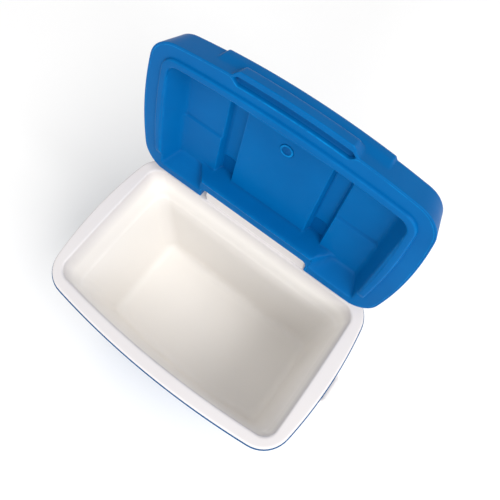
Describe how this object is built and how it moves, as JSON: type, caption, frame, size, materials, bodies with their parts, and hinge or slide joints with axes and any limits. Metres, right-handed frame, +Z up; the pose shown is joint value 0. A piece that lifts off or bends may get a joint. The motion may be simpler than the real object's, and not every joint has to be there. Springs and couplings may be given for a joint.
{
  "type": "cooler chest",
  "caption": "Hinged cooler chest with an insulated tub, a foam-filled lid standing open on a hinge rail, and a swing handle on each end.",
  "frame": {"origin": "on the floor, under the middle of the tub", "axes": "+X along the long side, to the right when seen from the front; +Y to the back, where the hinge is; +Z up"},
  "size_m": [0.5106, 0.3837, 0.6659],
  "materials": {
    "shell_blue": "moulded, faint grain, satin",
    "lid_blue": "moulded, smooth satin",
    "liner_white": "moulded, smooth, low gloss",
    "handle_white": "moulded, smooth satin",
    "foam": "rigid foam, open grain",
    "pin_steel": "drawn wire, plain",
    "screw_steel": "zinc plated"
  },
  "bodies": {
    "tub": {"outer_shell": "shell_blue", "base_fill_plug": "shell_blue", "foam_core": "foam", "inner_liner": "liner_white", "hinge_rail": "liner_white", "hinge_rail_screws": "screw_steel", "hinge_pin_left": "pin_steel", "hinge_pin_right": "pin_steel", "handle_bracket_left": "handle_white", "handle_bracket_right": "handle_white", "handle_pins_left": "pin_steel", "handle_pins_right": "pin_steel", "bracket_screws_left": "screw_steel", "bracket_screws_right": "screw_steel"},
    "lid": {"lid_outer_shell": "lid_blue", "lid_inner_panel": "lid_blue", "lid_foam": "foam", "lid_fill_plug": "lid_blue"},
    "left_handle": {"handle_left": "handle_white"},
    "right_handle": {"handle_right": "handle_white"}
  },
  "joints": [
    {"name": "lid_hinge", "type": "hinge", "parent": "tub", "child": "lid", "pos_m": [0, 0.1435, 0.3744], "axis": [1, 0, 0], "range_deg": [0, 103.4]},
    {"name": "left_handle_swing", "type": "hinge", "parent": "tub", "child": "left_handle", "pos_m": [-0.2355, 0.01, 0.322], "axis": [0, 1, 0], "range_deg": [0, 130]},
    {"name": "right_handle_swing", "type": "hinge", "parent": "tub", "child": "right_handle", "pos_m": [0.2355, 0.01, 0.322], "axis": [0, -1, 0], "range_deg": [0, 130]}
  ]
}
